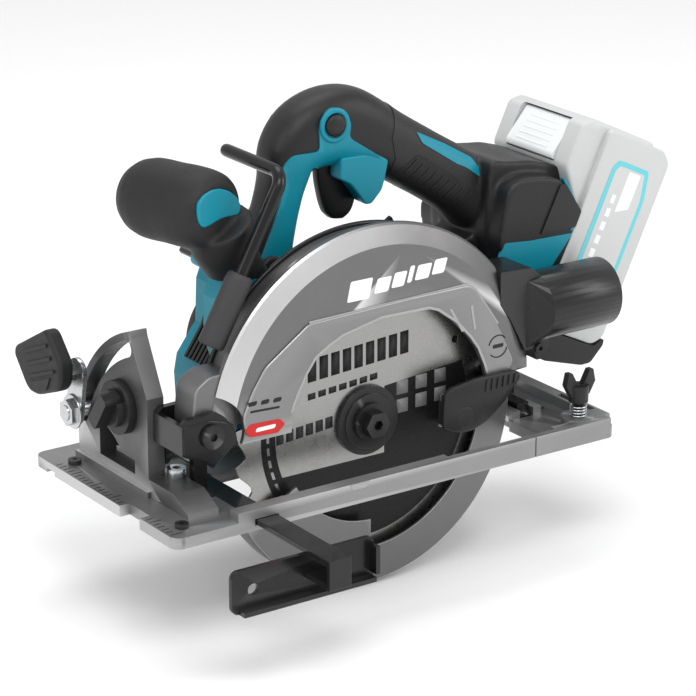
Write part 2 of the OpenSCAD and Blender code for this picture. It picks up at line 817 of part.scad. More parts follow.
module front_grip() color("#232323") difference() {
    union() {
        along_grip() cylinder(r1 = 18, r2 = 21, h = 12);
        along_grip() translate([0, 0, 11.9]) cylinder(r = 21, h = 34);
        along_grip() translate([0, 0, 45.8]) cylinder(r1 = 21, r2 = 13, h = 15);
        // neck down to the motor housing
        translate([-55, 31, 105]) rotate([0, -32.7, 0]) cylinder(r = 13, h = 42);
    }
    along_grip() translate([0, 0, -1]) cylinder(r = 12, h = 6);
    block(-80, -30, 0, 60, 80, 112);
}

module front_grip_cap() color("#1795a8") along_grip() translate([0, 0, -0.8]) cylinder(r = 11.9, h = 5.8);

// ---------- dust nozzle ----------
nozzle = [-8, 73];

nozzle_screw_spot = [106.5, 50];

module dust_nozzle() color("#1e1e1e") difference() {
    union() {
        xcyl(nozzle, 19, 106, 153);
        hull() {
            xcyl(nozzle, 19, 106, 110, $fn = 32);
            block(97.4, 98.6, -13.2, 11.4, 52, 90);
        }
        yslab(-13.2, 11.4) polygon([
            [79.4, 98], [79.4, 80], [86.4, 70], [96.9, 50.4], [102.8, 50.4], [105, 43.5], [111, 43.5], [114, 54],
            [112, 88], [100, 97]
        ]);
    }
    xcyl(nozzle, 17.5, 108, 154);
    block(70, 108, -10.6, 9.4, 60, 86);
    ycyl(nozzle_screw_spot, 3.1, -14, -12);
}

module nozzle_screw() color("#1a1a1a") difference() {
    ycyl(nozzle_screw_spot, 3, -14.6, -12);
    ycyl(nozzle_screw_spot, 1.4, -15, -13.4, $fn = 6);
}

// ---------- hook ----------
hook_foot = [-94.2, 86];
hook_bend = [-48.5, 170];
hook_y = 3;
hook_angle = atan2(hook_bend[1] - hook_foot[1], hook_bend[0] - hook_foot[0]);
hook_len = norm(hook_bend - hook_foot);

module along_hook()
    translate([hook_foot[0], hook_y, hook_foot[1]]) rotate([0, 90 - hook_angle, 0]) children();

module hook_sleeve() color("#3a3a3a") difference() {
    along_hook() cylinder(r = 7, h = 40);
    along_hook() translate([0, 0, -1]) cylinder(r = 2.75, h = 50);
}

module hook_rod() color("#121212") {
    along_hook() translate([0, 0, 1]) cylinder(r = 2.7, h = hook_len - 6);
    along_hook() translate([0, 5, hook_len - 5]) rotate([0, -90, 180]) rotate_extrude(angle = 90)
        translate([5, 0]) circle(r = 2.7);
    along_hook() translate([0, 5, hook_len]) rotate([-90, 0, 0]) cylinder(r = 2.7, h = 52);
    along_hook() translate([0, 57, hook_len]) sphere(r = 2.7);
}

module hex_key() color("#202020") ycyl(key_axis, 1.95, 62, 92, $fn = 6);

// ---------- depth clamp ----------

module depth_clamp_bolt() color("#a0a0a0") {
    ycyl(depth_clamp, 3.7, 12, 30);
    ycyl(depth_clamp, 6, 10.4, guard_far0);
}

module depth_lever() color("#1f1f1f") difference() {
    union() {
        ycyl(depth_clamp, 8, 19, 27);
        yslab(22, 26) polygon([[45, 24], [79, 37], [82, 41], [79, 45], [44, 37]]);
    }
    ycyl(depth_clamp, 3.76, 10, 40);
}

module guard_spring() color("#b0b0b0") translate([0, 0, arbor_z]) rotate([90, 0, 0]) {
    for (y = [-9.9, -11.3]) wire_ring(24, 0.6, y);
}

module guard_bumper() color("#151515") block(-84, -74, 9.4, 12.5, 60, 66);

module shaft_lock_button() color("#202020") xcyl(lock_axis, 4, 22, 36);

// ---------- battery ----------
module battery_case() color("#c9cccc") difference() {
    union() {
        pack_slab(pack_y0, pack_y1) polygon([
            [-68, -1], [48, -1], [48, -44], [42, -51], [-64, -51], [-68, -47]
        ]);
        pack_slab(pack_y0 + 4, pack_y1 - 4) polygon([
            [20, -2], [20, 17], [45, 17], [50, 12], [50, -40], [40, -46]
        ]);
    }
    pack_block(-64, 42, 6, 46.6, pack_y0 + 4, pack_y1 - 4);
    // notch of the release button and slots of the contacts
    pack_block(20.6, 46.6, -20, -5.5, 28.4, 71.6);
    for (y = [34, 50, 66]) pack_block(-40, -4, 0, 7, y - 1.5, y + 1.5);
}

module battery_cells() color("#4f8a57") for (i = [0:4], k = [0, 1]) pack_frame()
    translate([-53 + i * 20.5, 17, -15.8 - k * 20.6]) rotate([-90, 0, 0]) cylinder(r = 9.5, h = 66);

module battery_button() color("#dfe6e8")
    pack_slab(29, 71) polygon([[21.2, 8.4], [21.2, 19.4], [46, 13.4], [46, 8.4]]);

// ---------- assembly ----------
base_plate();
bevel_quadrant();
deck_screws();
square_stop_post();
front_tilt_pin();
rear_tilt_pin();
wing_bolt();
wing_bolt_spring();
bevel_stop_knob();
fence_bar();
fence_plate();
front_bracket();
depth_pivot_pin();
bevel_clamp_bolt();
depth_guide();
bevel_lever_arm();
bevel_lever_grip();
bevel_lever_nut();
upper_guard();
gear_housing();
motor_housing();
motor_rear_cover();
handle_shell_near();
handle_shell_far();
handle_screws();
front_grip();
front_grip_cap();
dust_nozzle();
nozzle_screw();
hook_sleeve();
hook_rod();
hex_key();
switch_unit();
controller();
terminal_block();
spindle_bearings();
motor_bearings();
stator();
depth_clamp_bolt();
depth_lever();
guard_spring();
guard_bumper();
spindle_shaft();
drive_gear();
inner_flange();
saw_blade();
outer_flange();
blade_bolt();
rotor();
cooling_fan();
lower_guard();
guard_lever();
guard_lever_screw();
trigger();
lock_off_button();
shaft_lock_button();
battery_case();
battery_cells();
battery_button();
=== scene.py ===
import bpy
import bmesh
import math
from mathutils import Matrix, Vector


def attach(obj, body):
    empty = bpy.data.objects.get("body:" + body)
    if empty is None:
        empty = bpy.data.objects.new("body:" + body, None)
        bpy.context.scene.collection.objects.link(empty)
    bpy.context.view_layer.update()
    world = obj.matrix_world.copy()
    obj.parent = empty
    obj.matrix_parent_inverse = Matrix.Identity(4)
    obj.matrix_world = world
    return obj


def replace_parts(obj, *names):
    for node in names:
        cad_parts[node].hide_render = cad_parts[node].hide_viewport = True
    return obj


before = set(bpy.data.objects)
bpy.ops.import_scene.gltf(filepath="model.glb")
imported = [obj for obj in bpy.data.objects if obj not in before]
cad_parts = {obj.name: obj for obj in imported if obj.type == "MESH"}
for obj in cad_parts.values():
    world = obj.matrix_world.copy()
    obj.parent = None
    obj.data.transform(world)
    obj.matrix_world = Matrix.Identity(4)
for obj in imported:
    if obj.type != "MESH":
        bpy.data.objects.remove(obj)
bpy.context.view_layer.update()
MM = 0.001

# Places and sizes in mm, in the frame of the CAD: X to the right, Y away from the viewer, Z up
BLADE_Z = 27.4                  # height of the blade's centre, which is at X 0
PRINT_Y = -0.78                 # front of the marks on the blade
DRUM = (0.0, 35.2)              # X and Z of the centre of the guard's round wall
DRUM_R, CHAMBER_R = 102.3, 93.4  # outer radius of the guard and radius of its inside
GUARD_WALL_Y = -13.3            # a little behind the guard's flat face
PANEL_PRINT_Y = -14.82          # front of the marks on the guard's panel
PIVOT_X, PIVOT_Z = -104, 44     # depth pivot at the front of the guard
LEVER_X, LEVER_Z = 53, 22.5     # screw of the lower guard's lever
HANDLE_Y = 50                   # middle plane of the handle
LOCK_X, LOCK_Z = 3, 181         # centre of the lock-off button
SEAT_X, SEAT_Z = 153.2, 114     # point on the battery's seat from which the battery is laid out
SEAT_TILT = math.radians(64.5)  # the seat's slope
BATTERY_NEAR, BATTERY_FAR = 12, 88


# ---------- materials ----------
def surface(name, colour, rough, metal=0.0, grain=1400, bump=0.2, vary=0.06, patch=40, wear_and_highlight=0.0,
            wear_and_highlight_colour=(0.8, 0.8, 0.8), coat=0.0, stretch=(1, 1, 1), spec=0.5):
    """Cast or moulded surface: broad tone, fine bump, uneven gloss and pale convex edges, partly wear and partly
    a painted edge highlight.
    """
    rough_vary = 0.12
    m = bpy.data.materials.new(name)
    m.use_nodes = True
    nt = m.node_tree
    b = nt.nodes["Principled BSDF"]
    new, link = nt.nodes.new, nt.links.new
    co = new("ShaderNodeTexCoord")
    mp = new("ShaderNodeMapping")
    mp.inputs["Scale"].default_value = stretch
    link(co.outputs["Object"], mp.inputs["Vector"])

    def noise(scale, detail):
        n = new("ShaderNodeTexNoise")
        n.inputs["Scale"].default_value = scale
        n.inputs["Detail"].default_value = detail
        link(mp.outputs[0], n.inputs["Vector"])
        return n.outputs["Fac"]

    fine, broad, mid = noise(grain, 3), noise(patch, 4), noise(patch * 6, 3)
    lo = [c * (1 - vary) for c in colour] + [1]
    hi = [min(1, c * (1 + vary)) for c in colour] + [1]
    mix = new("ShaderNodeMix")
    mix.data_type = "RGBA"
    mix.inputs[6].default_value, mix.inputs[7].default_value = lo, hi
    link(broad, mix.inputs[0])
    last = mix.outputs[2]
    # pale convex edges by pointiness: partly wear, partly painted edge highlight
    if wear_and_highlight > 0:
        geo = new("ShaderNodeNewGeometry")
        edge = new("ShaderNodeMapRange")
        edge.inputs["From Min"].default_value, edge.inputs["From Max"].default_value = 0.53, 0.62
        edge.inputs["To Max"].default_value = wear_and_highlight
        link(geo.outputs["Pointiness"], edge.inputs["Value"])
        wear_and_highlight_mix = new("ShaderNodeMix")
        wear_and_highlight_mix.data_type = "RGBA"
        wear_and_highlight_mix.inputs[7].default_value = (*wear_and_highlight_colour, 1)
        link(edge.outputs[0], wear_and_highlight_mix.inputs[0])
        link(last, wear_and_highlight_mix.inputs[6])
        last = wear_and_highlight_mix.outputs[2]
    link(last, b.inputs["Base Color"])
    rr = new("ShaderNodeMapRange")
    rr.inputs["To Min"].default_value = max(0.05, rough - rough_vary / 2)
    rr.inputs["To Max"].default_value = min(1, rough + rough_vary / 2)
    link(mid, rr.inputs["Value"])
    link(rr.outputs[0], b.inputs["Roughness"])
    bp = new("ShaderNodeBump")
    bp.inputs["Strength"].default_value = bump
    bp.inputs["Distance"].default_value = 0.0002
    link(fine, bp.inputs["Height"])
    link(bp.outputs[0], b.inputs["Normal"])
    b.inputs["Metallic"].default_value = metal
    b.inputs["Coat Weight"].default_value = coat
    b.inputs["Specular IOR Level"].default_value = spec
    return m


cast = surface("cast_base", (0.27, 0.268, 0.27), 0.40, 0.8, 1800, 0.35, 0.08, 30, 0.6, (0.75, 0.75, 0.76))
blast = surface("cast_quadrant", (0.135, 0.133, 0.132), 0.42, 0.8, 2200, 0.5, 0.1, 30, 0.8, (0.7, 0.7, 0.7))
guard_grey = surface("guard_grey", (0.155, 0.152, 0.152), 0.38, 0.75, 2200, 0.4, 0.07, 26, 0.8,
                     (0.75, 0.75, 0.75))
# painted highlight: lighter greys for rounded edges and thin bright lines, standing in for the light they catch
highlight_grey = surface("edge_highlight_grey", (0.36, 0.36, 0.36), 0.36, 0.8, 2000, 0.25, 0.05)
base_edge_highlight = surface("base_edge_highlight", (0.52, 0.52, 0.52), 0.36, 0.8, 2000, 0.25, 0.05)
shoe_grey = surface("shoe_grey", (0.165, 0.163, 0.165), 0.34, 0.85, 1500, 0.2, 0.06, 25, 0.5, (0.7, 0.7, 0.7))
zinc = surface("zinc", (0.56, 0.57, 0.58), 0.26, 0.95, 1500, 0.2, 0.08)
black_metal = surface("black_metal", (0.008, 0.008, 0.009), 0.24, 0.0, 1200, 0.2, 0.2, 30, 0.25,
                      (0.10, 0.10, 0.10), coat=0.08, spec=0.25)
black_screw = surface("black_screw", (0.016, 0.016, 0.017), 0.34, 0.3, 1600, 0.2, 0.2, 60, 0.4,
                      (0.2, 0.2, 0.21), spec=0.4)
plastic = surface("black_plastic", (0.011, 0.011, 0.012), 0.42, 0.0, 2600, 0.5, 0.15, 40, 0.15,
                  (0.08, 0.08, 0.08), spec=0.35)
rubber = surface("black_rubber", (0.012, 0.012, 0.0125), 0.55, 0.0, 3000, 0.6, 0.2, 40, 0.1,
                 (0.06, 0.06, 0.06), spec=0.35)
pebbled = surface("textured_grip", (0.010, 0.010, 0.011), 0.50, 0.0, 900, 1.0, 0.3, 40, 0.1,
                  (0.06, 0.06, 0.06), spec=0.45)
glossy = surface("glossy_plastic", (0.009, 0.009, 0.010), 0.30, 0.0, 2600, 0.25, 0.15, 40, 0.15,
                 (0.08, 0.08, 0.08), spec=0.4)
sleeve = surface("sleeve_rubber", (0.035, 0.035, 0.037), 0.60, 0.0, 2600, 0.6, 0.15, spec=0.4)
teal = surface("teal_plastic", (0.003, 0.225, 0.31), 0.36, 0.0, 2600, 0.3, 0.06, 30, 0.2, (0.04, 0.45, 0.55),
               spec=0.3)
pale = surface("pale_plastic", (0.53, 0.535, 0.535), 0.46, 0.0, 2600, 0.35, 0.05, 30, 0.2, (0.8, 0.82, 0.83),
               spec=0.4)
white = surface("white_plastic", (0.80, 0.83, 0.84), 0.40, 0.0, 2600, 0.3, 0.03, spec=0.4)
cyan_line = surface("cyan_line", (0.14, 0.56, 0.62), 0.40, 0.0, 2000, 0.2, 0.05, spec=0.3)
red_paint = surface("red_paint", (0.55, 0.02, 0.018), 0.38, 0.0, 2200, 0.25, 0.08, spec=0.3)
white_paint = surface("white_paint", (0.88, 0.88, 0.87), 0.42, 0.0, 2200, 0.25, 0.04)
dark_mark = surface("dark_mark", (0.015, 0.015, 0.016), 0.5, 0.0, 2200, 0.2, 0.1, spec=0.3)
grey_mark = surface("grey_mark", (0.20, 0.20, 0.20), 0.5, 0.0, 2200, 0.2, 0.1, spec=0.3)
core = surface("motor_core", (0.20, 0.20, 0.21), 0.45, 0.8, 1500, 0.4, 0.1, stretch=(1, 8, 1))
copper = surface("copper", (0.50, 0.22, 0.09), 0.40, 0.7, 900, 0.6, 0.15)
board = surface("board_green", (0.02, 0.11, 0.05), 0.4, 0.0, 1200, 0.3, 0.2)
brass = surface("brass", (0.58, 0.42, 0.16), 0.35, 0.9, 1200, 0.2, 0.08)
wrap = surface("cell_wrap", (0.04, 0.18, 0.08), 0.38, 0.0, 1500, 0.2, 0.1)


def rim_highlight_material():
    """Sloping rim of the guard with a painted highlight: bright at the front, fading to the guard's grey."""
    m = surface("rim_highlight", (0.155, 0.152, 0.152), 0.36, 0.8, 2200, 0.4, 0.07, 26)
    nt = m.node_tree
    b = nt.nodes["Principled BSDF"]
    new, link = nt.nodes.new, nt.links.new
    kinds = ("ShaderNodeTexCoord", "ShaderNodeSeparateXYZ", "ShaderNodeMapRange", "ShaderNodeMix")
    co, sep, ramp, mix = (new(kind) for kind in kinds)
    link(co.outputs["Object"], sep.inputs[0])
    ramp.inputs["From Min"].default_value, ramp.inputs["From Max"].default_value = 0.030, -0.050
    ramp.interpolation_type = "SMOOTHSTEP"
    link(sep.outputs["X"], ramp.inputs["Value"])
    mix.data_type = "RGBA"
    link(ramp.outputs[0], mix.inputs[0])
    link(b.inputs["Base Color"].links[0].from_socket, mix.inputs[6])
    mix.inputs[7].default_value = (0.62, 0.62, 0.62, 1)
    link(mix.outputs[2], b.inputs["Base Color"])
    return m


rim_highlight = rim_highlight_material()


def blade_material():
    """Steel with a dark printed field."""
    m = surface("blade_steel", (0.30, 0.298, 0.292), 0.28, 0.95, 1600, 0.2, 0.06, 30)
    nt = m.node_tree
    b = nt.nodes["Principled BSDF"]
    new, link = nt.nodes.new, nt.links.new
    co = new("ShaderNodeTexCoord")
    sep = new("ShaderNodeSeparateXYZ")
    link(co.outputs["Object"], sep.inputs[0])

    def math_node(op, a, c=None):
        n = new("ShaderNodeMath")
        n.operation = op
        for i, v in enumerate((a, c)):
            if v is None:
                continue
            if isinstance(v, (int, float)):
                n.inputs[i].default_value = v
            else:
                link(v, n.inputs[i])
        return n.outputs[0]

    dz = math_node("SUBTRACT", sep.outputs["Z"], BLADE_Z * MM)
    x = sep.outputs["X"]
    r = math_node("SQRT", math_node("ADD", math_node("MULTIPLY", x, x), math_node("MULTIPLY", dz, dz)))
    # dark printed field: lower part, right part and a band along the left edge
    inside = math_node("LESS_THAN", r, 0.0665)
    low = math_node("LESS_THAN", dz, -0.0215)
    slope = math_node("SUBTRACT", dz, math_node("MULTIPLY", x, 0.087))
    right = math_node("MULTIPLY", math_node("GREATER_THAN", x, 0.012), math_node("LESS_THAN", slope, 0.0154))
    band = math_node("MULTIPLY", math_node("GREATER_THAN", r, 0.0575), math_node("LESS_THAN", dz, 0.008))
    field = math_node("MAXIMUM", math_node("MAXIMUM", low, right), band)
    dash = math_node("GREATER_THAN", math_node("SINE", math_node("MULTIPLY", dz, 900.0)), -0.35)
    line = math_node("LESS_THAN", math_node("ABSOLUTE", math_node("SUBTRACT", r, 0.0622)), 0.0008)
    left = math_node("LESS_THAN", x, -0.03)
    gap = math_node("MULTIPLY", math_node("MULTIPLY", dash, line), left)
    mask = math_node("MULTIPLY", math_node("MULTIPLY", field, inside), math_node("SUBTRACT", 1.0, gap))
    mix = new("ShaderNodeMix")
    mix.data_type = "RGBA"
    old = b.inputs["Base Color"].links[0].from_socket
    link(mask, mix.inputs[0])
    link(old, mix.inputs[6])
    mix.inputs[7].default_value = (0.012, 0.012, 0.013, 1)
    link(mix.outputs[2], b.inputs["Base Color"])
    plain = math_node("SUBTRACT", 1.0, mask)
    link(math_node("MULTIPLY", plain, 0.95), b.inputs["Metallic"])
    link(math_node("ADD", math_node("MULTIPLY", plain, 0.35), 0.15), b.inputs["Specular IOR Level"])
    return m


blade_steel = blade_material()


# ---------- mesh helpers ----------
def make(name, verts, faces, mat, body):
    """New object from points in mm. Without a body it is a cutting tool."""
    me = bpy.data.meshes.new(name)
    me.from_pydata([Vector(v) * MM for v in verts], [], faces)
    bm = bmesh.new()
    bm.from_mesh(me)
    bmesh.ops.remove_doubles(bm, verts=bm.verts, dist=1e-7)
    bmesh.ops.recalc_face_normals(bm, faces=bm.faces)
    bm.to_mesh(me)
    bm.free()
    o = bpy.data.objects.new(name, me)
    bpy.context.scene.collection.objects.link(o)
    me.materials.append(mat)
    for p in me.polygons:
        p.use_smooth = True
    if body:
        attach(o, body)
    return o


def finish_edges(o, width, seg=3, angle=28, edge=None):
    """Rounds the edges; edge is a material of their own, a painted edge highlight."""
    if width > 0:
        bv = o.modifiers.new("bevel", "BEVEL")
        if edge:
            o.data.materials.append(edge)
            bv.material = len(o.data.materials) - 1
        bv.width = width * MM
        bv.segments = seg
        bv.limit_method = "ANGLE"
        bv.angle_limit = math.radians(angle)
        bv.harden_normals = True
    return o


def bake(o):
    """Applies the modifiers."""
    dg = bpy.context.evaluated_depsgraph_get()
    dg.update()
    me = bpy.data.meshes.new_from_object(o.evaluated_get(dg))
    o.modifiers.clear()
    o.data = me
    return o


def combine(o, tool, operation="DIFFERENCE"):
    """Cuts, joins or intersects with tool, and deletes tool."""
    md = o.modifiers.new("cut", "BOOLEAN")
    md.object, md.operation, md.solver = tool, operation, "EXACT"
    bake(o)
    bpy.data.objects.remove(tool)
    return o


def voxel(o, size, rounds):
    """Remeshes and smooths, so that joined bodies flow into one another."""
    md = o.modifiers.new("voxel", "REMESH")
    md.mode, md.voxel_size, md.use_smooth_shade = "VOXEL", size * MM, True
    sm = o.modifiers.new("soften", "SMOOTH")
    sm.factor, sm.iterations = 0.5, rounds
    return bake(o)


def shade_by_angle(o, degrees):
    """Smooth shading with sharp edges above the angle."""
    me = o.data
    bm = bmesh.new()
    bm.from_mesh(me)
    for e in bm.edges:
        e.smooth = len(e.link_faces) != 2 or e.calc_face_angle(0) < math.radians(degrees)
    for f in bm.faces:
        f.smooth = True
    bm.to_mesh(me)
    bm.free()
    return o


def place(axis, u, v, w):
    """Point from two coordinates of an outline and one along the axis."""
    return {"y": (u, w, v), "x": (w, u, v), "z": (u, v, w)}[axis]


def rounded(pts, r, n=4):
    """The outline with each corner rounded by about r."""
    out = []
    for i, p in enumerate(pts):
        p = Vector(p)
        a, b = Vector(pts[i - 1]), Vector(pts[(i + 1) % len(pts)])
        da, db = (a - p), (b - p)
        k = min(r, da.length * 0.45, db.length * 0.45)
        s, t = p + da.normalized() * k, p + db.normalized() * k
        for j in range(n + 1):
            f = j / n
            out.append(tuple(s * (1 - f) ** 2 + p * 2 * f * (1 - f) + t * f * f))
    return out


def prism(name, pts, axis, a, b, mat, body, bevel=0.6, seg=3):
    """An outline drawn out along the axis from a to b."""
    n = len(pts)
    verts = [place(axis, u, v, a) for u, v in pts] + [place(axis, u, v, b) for u, v in pts]
    faces = [list(range(n)), list(range(2 * n - 1, n - 1, -1))]
    faces += [(i, (i + 1) % n, n + (i + 1) % n, n + i) for i in range(n)]
    return finish_edges(make(name, verts, faces, mat, body), bevel, seg)


def layers(name, rings, mat, body):
    """Skins a list of rings with equal counts and closes both ends."""
    n = len(rings[0])
    verts = [p for ring in rings for p in ring]
    faces = [list(range(n)), list(range(len(verts) - 1, len(verts) - n - 1, -1))]
    for k in range(len(rings) - 1):
        for i in range(n):
            j = (i + 1) % n
            faces.append((k * n + i, k * n + j, (k + 1) * n + j, (k + 1) * n + i))
    return make(name, verts, faces, mat, body)


def lathe(name, profile, origin, direction, mat, body, n=72):
    """Turns (radius, distance) points about the line from origin along direction."""
    d = Vector(direction).normalized()
    u = d.orthogonal().normalized()
    v = d.cross(u)
    rings = []
    for r, t in profile:
        rings.append([tuple(Vector(origin) + d * t + (u * math.cos(a) + v * math.sin(a)) * r)
                      for a in [2 * math.pi * i / n for i in range(n)]])
    return layers(name, rings, mat, body)


def tube(name, path, r, mat, body, n=16):
    """A round bar along a path. r is a radius, a list of them or a function of the share of the way."""
    pts = [Vector(p) for p in path]
    rings = []
    up = Vector((0, 0, 1))
    for i, p in enumerate(pts):
        t = (pts[min(i + 1, len(pts) - 1)] - pts[max(i - 1, 0)]).normalized()
        side = t.cross(up)
        side = (side if side.length > 0.05 else t.cross(Vector((0, 1, 0)))).normalized()
        other = t.cross(side)
        rr = r(i / (len(pts) - 1)) if callable(r) else r[i] if isinstance(r, list) else r
        rings.append([tuple(p + (side * math.cos(a) + other * math.sin(a)) * rr)
                      for a in [2 * math.pi * k / n for k in range(n)]])
    return layers(name, rings, mat, body)


def loft_y(name, stations, mat, body, n=44, power=2.6, grow=0.0):
    """A bar in the handle's middle plane: stations are (x, z, half height, half width in Y)."""
    rings = []
    for i, (x, z, h, w) in enumerate(stations):
        a, b = stations[max(i - 1, 0)], stations[min(i + 1, len(stations) - 1)]
        t = Vector((b[0] - a[0], b[1] - a[1])).normalized()
        nrm = Vector((-t.y, t.x))
        ring = []
        for k in range(n):
            c, s = math.cos(2 * math.pi * k / n), math.sin(2 * math.pi * k / n)
            cu = math.copysign(abs(c) ** (2 / power), c) * (h + grow)
            su = math.copysign(abs(s) ** (2 / power), s) * (w + grow)
            ring.append((x + nrm.x * cu, HANDLE_Y + su, z + nrm.y * cu))
        rings.append(ring)
    return layers(name, rings, mat, body)


def between(a, b, c, d, f):
    """The value at share f of the way from b to c, on a smooth curve through all four."""
    square, cube = 2 * a - 5 * b + 4 * c - d, 3 * b - a - 3 * c + d
    return 0.5 * (2 * b + (c - a) * f + square * f * f + cube * f ** 3)


def ease(stations):
    """More stations, on a smooth curve through the given ones."""
    steps = 4
    out = []
    n = len(stations)
    for i in range(n - 1):
        p0, p1, p2, p3 = (stations[max(0, min(n - 1, i + k))] for k in (-1, 0, 1, 2))
        for s in range(steps):
            f = s / steps
            out.append(tuple(between(a, b, c, d, f) for a, b, c, d in zip(p0, p1, p2, p3)))
    out.append(tuple(stations[-1]))
    return out


# CAD pieces whose rounded edges have a lighter material, a painted edge highlight
EDGE_HIGHLIGHT = {"base_plate": base_edge_highlight, "bevel_quadrant": highlight_grey, "gear_housing": highlight_grey,
          "lower_guard": highlight_grey}


def cad(name, mat, bevel):
    """Gives a CAD piece its material and, by modifiers, its rounded edges, which on some pieces carry a painted
    highlight in a lighter material.
    """
    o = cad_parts[name]
    o.data.materials.clear()
    o.data.materials.append(mat)
    if bevel > 0:
        wd = o.modifiers.new("weld", "WELD")
        wd.merge_threshold = 1e-6
        finish_edges(o, bevel, 2, edge=EDGE_HIGHLIGHT.get(name))


# ---------- CAD pieces that are shown as they are ----------
for node, mat, bevel in [
        ("base_plate", cast, 0.45), ("bevel_quadrant", blast, 0.5), ("deck_screws", black_screw, 0.2),
        ("square_stop_post", zinc, 0.3), ("front_tilt_pin", zinc, 0.2), ("rear_tilt_pin", zinc, 0.2),
        ("wing_bolt", plastic, 0.7), ("wing_bolt_spring", zinc, 0), ("bevel_stop_knob", plastic, 0.7),
        ("fence_bar", black_metal, 0.4), ("fence_plate", black_metal, 0.5), ("front_bracket", black_metal, 0.5),
        ("depth_pivot_pin", black_screw, 0.4), ("bevel_clamp_bolt", zinc, 0.3), ("depth_guide", black_metal, 0.3),
        ("bevel_lever_arm", zinc, 0.5), ("bevel_lever_nut", zinc, 0.3), ("gear_housing", guard_grey, 0.8),
        ("motor_housing", teal, 1.2), ("motor_rear_cover", plastic, 1.0), ("handle_screws", black_screw, 0.2),
        ("dust_nozzle", glossy, 0.6), ("nozzle_screw", black_screw, 0.2),
        ("hex_key", black_screw, 0.2), ("switch_unit", plastic, 0.4), ("controller", board, 0.4),
        ("terminal_block", brass, 0.3), ("spindle_bearings", zinc, 0.3), ("motor_bearings", zinc, 0.3),
        ("stator", copper, 0.5), ("depth_clamp_bolt", zinc, 0.3), ("depth_lever", black_metal, 0.6),
        ("guard_spring", zinc, 0), ("guard_bumper", rubber, 0.4), ("spindle_shaft", zinc, 0.3),
        ("drive_gear", core, 0.15), ("inner_flange", black_screw, 0.3), ("saw_blade", blade_steel, 0.1),
        ("outer_flange", black_screw, 0.4), ("blade_bolt", black_screw, 0.4), ("rotor", core, 0.15),
        ("cooling_fan", plastic, 0.2), ("lower_guard", shoe_grey, 0.3),
        ("guard_lever_screw", black_screw, 0.2), ("shaft_lock_button", plastic, 0.6),
        ("battery_cells", wrap, 0.4)]:
    cad(node, mat, bevel)


# ---------- upper guard ----------
def drum_ring(r, y, inset=0.0):
    """The guard's side outline at one Y; inset moves its lower corners in."""
    a0 = math.degrees(math.asin((38.9 + inset * 0.3 - DRUM[1]) / r))
    a1 = 180 - math.degrees(math.asin((47 - DRUM[1]) / r))
    turns = [math.radians(a0 + (a1 - a0) * i / 72) for i in range(73)]
    arc = [(r * math.cos(t), DRUM[1] + r * math.sin(t)) for t in turns]
    low = [(-93 + inset * 0.4, 46), (-89.3 + inset * 0.2, 39), (-87.5, 36), (0, 36), (60, 36), (80, 37.3)]
    return [(x, y, z) for x, z in arc + low]


NEAR_RINGS = [drum_ring(DRUM_R, -5.5), drum_ring(DRUM_R, -8.2), drum_ring(101.2, -9.4),
              drum_ring(92.5, -13.2, 8), drum_ring(91.6, -13.5, 8)]
guard = layers("guard_near_shell", NEAR_RINGS, guard_grey, "saw_body")
chamber = lathe("tool", [(CHAMBER_R, -11), (CHAMBER_R, 0)], (0, 0, DRUM[1]), (0, 1, 0), guard_grey, None)
combine(guard, chamber)
OPEN_BELOW = [(-87, 20), (110, 20), (110, 39), (-87, 39)]
combine(guard, prism("tool", OPEN_BELOW, "y", -11, 0, guard_grey, None, bevel=0))
WINDOW = [(-55.5, 20), (-55.7, 47), (-53.7, 52.6), (-46.2, 66.5), (-40.8, 73.7), (-32.6, 78.5), (-24.4, 82.5),
          (0, 87.5), (31, 87), (36.9, 84.8), (48.2, 76.5), (58, 66), (63.1, 58.9), (67.5, 49), (70.7, 38.8),
          (71, 20)]
combine(guard, prism("tool", WINDOW, "y", -16, -9, guard_grey, None, bevel=0))
RIGHT_CUT = [(79, 115), (79, 80), (86, 69.5), (96.5, 50), (115, 50), (115, 115)]
combine(guard, prism("tool", RIGHT_CUT, "y", -16, -3, guard_grey, None, bevel=0))
pivot_room = lathe("tool", [(19.5, -15), (19.5, -7.8)], (PIVOT_X, 0, PIVOT_Z), (0, 1, 0), guard_grey, None)
combine(guard, pivot_room)
# the sloping rim faces get the painted highlight material
guard.data.materials.append(rim_highlight)
for poly in guard.data.polygons:
    c = poly.center / MM
    far_out = math.hypot(c.x - DRUM[0], c.z - DRUM[1])
    if poly.normal.y < -0.5 and abs(poly.normal.y) < 0.97 and far_out > 90:
        poly.material_index = 1
# the guard's rounded edges carry a painted highlight
shade_by_angle(finish_edges(guard, 0.6, 2, edge=highlight_grey), 18)
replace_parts(guard, "upper_guard")

far = layers("guard_far_shell", [drum_ring(96.5, -6.2), drum_ring(96.5, 13.6), drum_ring(95.6, 14.5)],
             guard_grey, "saw_body")
combine(far, lathe("tool", [(CHAMBER_R, -8), (CHAMBER_R, 12.5)], (0, 0, DRUM[1]), (0, 1, 0), guard_grey,
                   None))
combine(far, prism("tool", OPEN_BELOW, "y", -8, 12.5, guard_grey, None, bevel=0))
combine(far, lathe("tool", [(26, 11), (26, 16)], (0, 0, BLADE_Z), (0, 1, 0), guard_grey, None))
combine(far, prism("tool", RIGHT_CUT, "y", -8, 16, guard_grey, None, bevel=0))
combine(far, lathe("tool", [(19.5, 11.8), (19.5, 16)], (PIVOT_X, 0, PIVOT_Z), (0, 1, 0), guard_grey, None))
shade_by_angle(finish_edges(far, 0.4, 2), 32)
